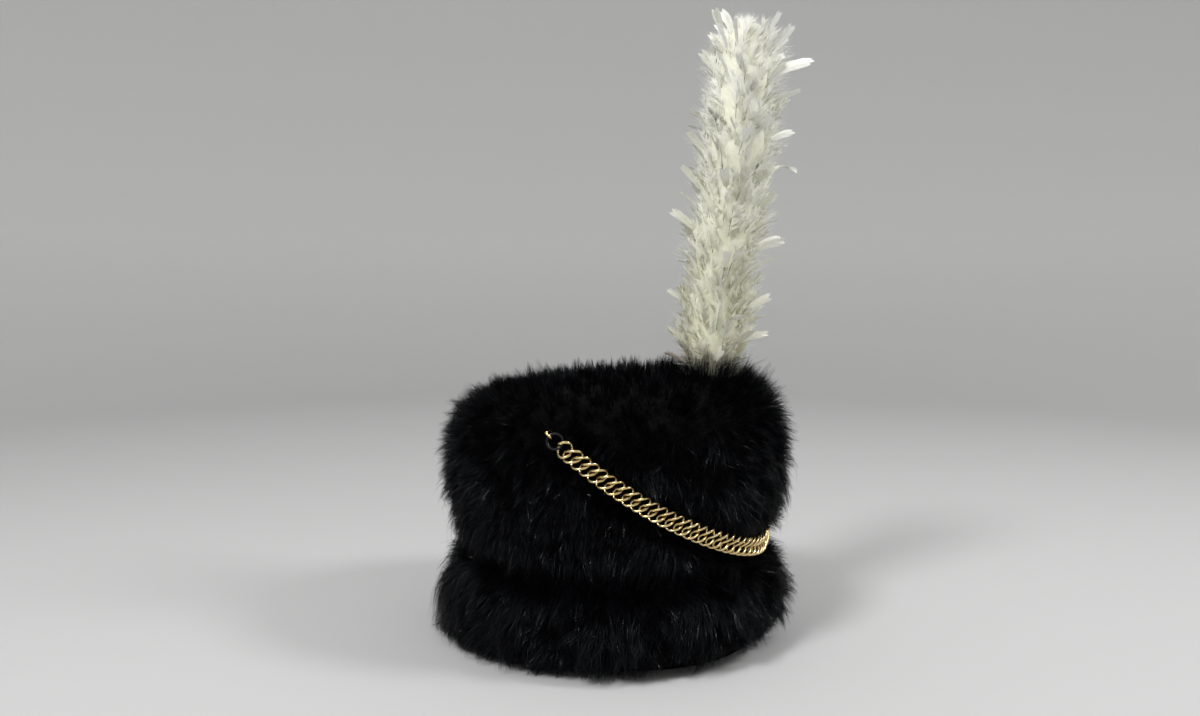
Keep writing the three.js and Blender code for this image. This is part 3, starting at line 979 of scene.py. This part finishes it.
# The chain, its rings and its eyes
LINK = {
    "count": 60,
    "wire": 1.65,
    "front_width": 14.2,
    "end_width": 12.6,
    "twist": -0.85,
    "slant": 0.42,
    "overlap": 2.9,
}
RING = {"wire": 1.7, "half": 4.9, "lean": -0.5}
EYE = {"wire": 1.5, "half": 2.4, "lean": 1.15, "shank": 13.0}
GAP = 0.3
STRETCHES = ["right", "front", "left"]
PER_STRETCH = LINK["count"] // len(STRETCHES)
LINK_STEPS = (28, 10)
LOOP_STEPS = (48, 14)


def route_table(samples=2401):
    turn = np.linspace(-CHAIN["eye_turn"], CHAIN["eye_turn"], samples)
    points = on_oval(turn, groove_reach(turn) + CHAIN["lift"], chain_height(turn))
    steps = np.linalg.norm(np.diff(points, axis=0), axis=1)
    return turn, points, np.concatenate([[0], np.cumsum(steps)])


ROUTE_TURN, ROUTE_POINTS, ROUTE_LENGTHS = route_table()
ROUTE_LENGTH = ROUTE_LENGTHS[-1]


def place_at(length):
    """Axes along the chain, up it and out of the fur as rows, and the point, at that length."""
    length = min(max(length, 0.0), ROUTE_LENGTH)
    point, ahead, behind = (
        np.array([np.interp(at, ROUTE_LENGTHS, ROUTE_POINTS[:, k]) for k in range(3)])
        for at in (length, min(length + 0.5, ROUTE_LENGTH), max(length - 0.5, 0.0))
    )
    turn = np.interp(length, ROUTE_LENGTHS, ROUTE_TURN)
    along = unit(ahead - behind)
    out = unit(np.array([math.sin(turn) / HEAD["width"], -math.cos(turn) / HEAD["length"], 0.0]))
    up = unit(np.cross(out, along))
    return np.stack([along, up, np.cross(along, up)]), point


def tube(points, radius, sides, closed=True):
    """A round wire along these points."""
    run = np.roll(points, -1, axis=0) - np.roll(points, 1, axis=0)
    if not closed:
        run = np.gradient(points, axis=0)
    run = unit(run)
    centre = points.mean(axis=0)
    toward = unit(points - centre) if closed else np.tile([0.0, 0.0, 1.0], (len(points), 1))
    first = unit(toward - run * np.sum(toward * run, axis=1, keepdims=True))
    second = np.cross(run, first)
    angle = np.arange(sides) / sides * 2 * np.pi
    rings = points[:, None] + radius * (
        np.cos(angle)[None, :, None] * first[:, None] + np.sin(angle)[None, :, None] * second[:, None]
    )
    if closed:
        return loft(list(rings))
    return loft([points[:1], *rings, points[-1:]])


def loop(half, half_width, wire, steps, length, lean=0.0, twist=0.0, slant=0.0):
    u = np.arange(steps[0]) / steps[0] * 2 * np.pi
    angle = lean + twist * np.cos(u)
    side = half_width * np.sin(u)
    along = half * np.cos(u) + slant * side
    local = np.stack([along, side * np.cos(angle), side * np.sin(angle)], axis=1)
    axes, point = place_at(length)
    return tube(local @ axes + point, wire / 2, steps[1])


def joined(parts):
    points, triangles, start = [], [], 0
    for part_points, part_triangles in parts:
        points.append(part_points)
        triangles.append(part_triangles + start)
        start += len(part_points)
    return np.concatenate(points), np.concatenate(triangles)


def add_chain():
    eye_to_ring = EYE["half"] + RING["half"] - (EYE["wire"] + RING["wire"]) / 2 - GAP
    ring_to_link = RING["half"] - (RING["wire"] + LINK["wire"]) / 2 - GAP
    ends = EYE["half"] + eye_to_ring + ring_to_link
    joints = (LINK["count"] - 1) * LINK["overlap"]
    link_half = (ROUTE_LENGTH - 2 * ends + joints) / (2 * LINK["count"])
    middle = (LINK["count"] - 1) / 2
    length = ends + link_half
    links = []
    for index in range(LINK["count"]):
        share = abs(index - middle) / middle
        half_width = (lerp(LINK["front_width"], LINK["end_width"], share) - LINK["wire"]) / 2
        slant = LINK["slant"] if share < 1 else 0.0
        form = {"twist": LINK["twist"], "slant": slant}
        links.append(loop(link_half, half_width, LINK["wire"], LINK_STEPS, length, **form))
        length += 2 * link_half - LINK["overlap"]
    for index, side in enumerate(STRETCHES):
        points, triangles = joined(links[index * PER_STRETCH : (index + 1) * PER_STRETCH])
        add_piece(f"curb_chain_{side}", points, triangles, [GILT], "gilt", [f"chain_{side}"])
    for name, sign in (("right", -1), ("left", 1)):
        add_fastening(name, sign, eye_to_ring)


def add_fastening(name, sign, eye_to_ring):
    """The black ring at one end of the chain, and the gilt eye whose shank goes into the hide."""

    def from_end(length):
        return length if sign < 0 else ROUTE_LENGTH - length

    at = from_end(EYE["half"] + eye_to_ring)
    ring = loop(RING["half"], RING["half"], RING["wire"], LOOP_STEPS, at, -sign * RING["lean"])
    add_piece(f"black_ring_{name}", *ring, [BLACK_METAL], "black_metal", [f"chain_ring_{name}"])
    at = from_end(EYE["half"])
    eye = loop(EYE["half"], EYE["half"], EYE["wire"], LOOP_STEPS, at, -sign * EYE["lean"])
    axes, point = place_at(from_end(0.0))
    shank_line = point - np.linspace(0, EYE["shank"], 6)[:, None] * axes[2]
    shank = tube(shank_line, EYE["wire"] / 2, LOOP_STEPS[1], closed=False)
    add_piece(f"gilt_eye_{name}", *joined([eye, shank]), [GILT], "gilt", [f"chain_eye_{name}"])


# Floor, light and camera, in metres
STAGE = {"sides": 96, "middle": 0.9, "flat": 1.5, "curve": 1.1, "height": 2.6}
FLOOR_PAPER = (0.53, 0.53, 0.53, 1)
# The wall's paper is lighter than the floor's: painted light.
WALL_PAPER_PAINTED_LIGHTER = (0.64, 0.64, 0.63, 1)


def paper_material():
    """Pale paper, painted a little lighter where it curves up: painted light that brightens the wall above
    the floor.
    """
    material, tree, shader = new_material("pale_paper", Roughness=0.85, Specular_IOR_Level=0.15)
    place = tree.nodes.new("ShaderNodeTexCoord")
    parts = tree.nodes.new("ShaderNodeSeparateXYZ")
    tree.links.new(place.outputs["Object"], parts.inputs["Vector"])
    color = add_ramp(tree, parts.outputs["Z"], [(0.0, FLOOR_PAPER), (0.4, WALL_PAPER_PAINTED_LIGHTER)])
    tree.links.new(color, shader.inputs["Base Color"])
    return material


def add_stage():
    sides = STAGE["sides"]
    profile = [(STAGE["middle"], 0.0), (STAGE["flat"], 0.0)]
    for angle in np.linspace(0, np.pi / 2, 17)[1:]:
        radius = STAGE["flat"] + STAGE["curve"] * math.sin(angle)
        profile.append((radius, STAGE["curve"] * (1 - math.cos(angle))))
    profile.append((STAGE["flat"] + STAGE["curve"], STAGE["height"]))
    points = [(0.0, 0.0, 0.0)]
    for radius, height in profile:
        for turn in np.arange(sides) / sides * 2 * np.pi:
            points.append((radius * math.cos(turn), radius * math.sin(turn), height))
    faces = []
    for i in range(sides):
        j = (i + 1) % sides
        faces.append((0, 1 + i, 1 + j))
        for start in range(1, 1 + sides * (len(profile) - 1), sides):
            faces.append((start + i, start + sides + i, start + sides + j, start + j))
    mesh = bpy.data.meshes.new("studio_floor")
    mesh.from_pydata(points, [], faces)
    mesh.shade_smooth()
    mesh.materials.append(paper_material())
    floor = bpy.data.objects.new("studio_floor", mesh)
    bpy.context.scene.collection.objects.link(floor)


def add_light(name, place, aim, size, energy):
    light = bpy.data.lights.new(name, "AREA")
    light.shape = "DISK"
    light.size = size
    light.energy = energy
    holder = bpy.data.objects.new(name, light)
    holder.location = place
    holder.rotation_mode = "QUATERNION"
    holder.rotation_quaternion = (Vector(aim) - Vector(place)).to_track_quat("-Z", "Y")
    bpy.context.scene.collection.objects.link(holder)


def add_studio():
    world = bpy.data.worlds.new("studio")
    world.use_nodes = True
    sky = world.node_tree.nodes["Background"]
    sky.inputs["Color"].default_value = (1.0, 1.0, 1.0, 1)
    sky.inputs["Strength"].default_value = 0.62
    bpy.context.scene.world = world
    add_light("key", (-1.03, 0.35, 1.5), (0, 0, 0.2), 0.4, 20.0)
    add_light("fill", (0.0, -1.25, 1.35), (0, 0, 0.15), 0.4, 13.5)
    bpy.context.scene.view_settings.view_transform = "Standard"


PHOTO_WIDTH = 1200
FOCAL_PIXELS = 924.0
SENSOR = 36.0
CAMERA = {"distance": 0.667, "turn": math.radians(75), "height": 0.245, "axis_right": 14.0}
PITCH = math.radians(4.15)


def add_camera():
    data = bpy.data.cameras.new("camera")
    data.sensor_fit = "HORIZONTAL"
    data.sensor_width = SENSOR
    data.lens = FOCAL_PIXELS / PHOTO_WIDTH * SENSOR
    data.clip_start = 0.01
    data.clip_end = 20.0
    camera = bpy.data.objects.new("camera", data)
    toward = Vector((math.sin(CAMERA["turn"]), math.cos(CAMERA["turn"]), 0.0))
    left = Vector((-toward.y, toward.x, 0.0))
    yaw = math.atan(CAMERA["axis_right"] / FOCAL_PIXELS)
    level = toward * math.cos(yaw) + left * math.sin(yaw)
    aim = level * math.cos(PITCH) - Vector((0, 0, math.sin(PITCH)))
    camera.location = -toward * CAMERA["distance"] + Vector((0, 0, CAMERA["height"]))
    camera.rotation_mode = "QUATERNION"
    camera.rotation_quaternion = aim.to_track_quat("-Z", "Y")
    bpy.context.scene.collection.objects.link(camera)
    bpy.context.scene.camera = camera


hair_crown = Pile(CROWN_SECTIONS, HAIR_GROOVE)
hair_band = Pile(BAND_SECTIONS, HAIR_GROOVE)
add_camera()
add_studio()
add_stage()
add_hides(Pile(CROWN_SECTIONS, CHAIN["groove_half"]), Pile(BAND_SECTIONS, CHAIN["groove_half"]))
add_fur(hair_crown, hair_band)
add_plume()
add_chain()
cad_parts["plume_stem"].data.materials.clear()
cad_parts["plume_stem"].data.materials.append(STEM_WIRE)
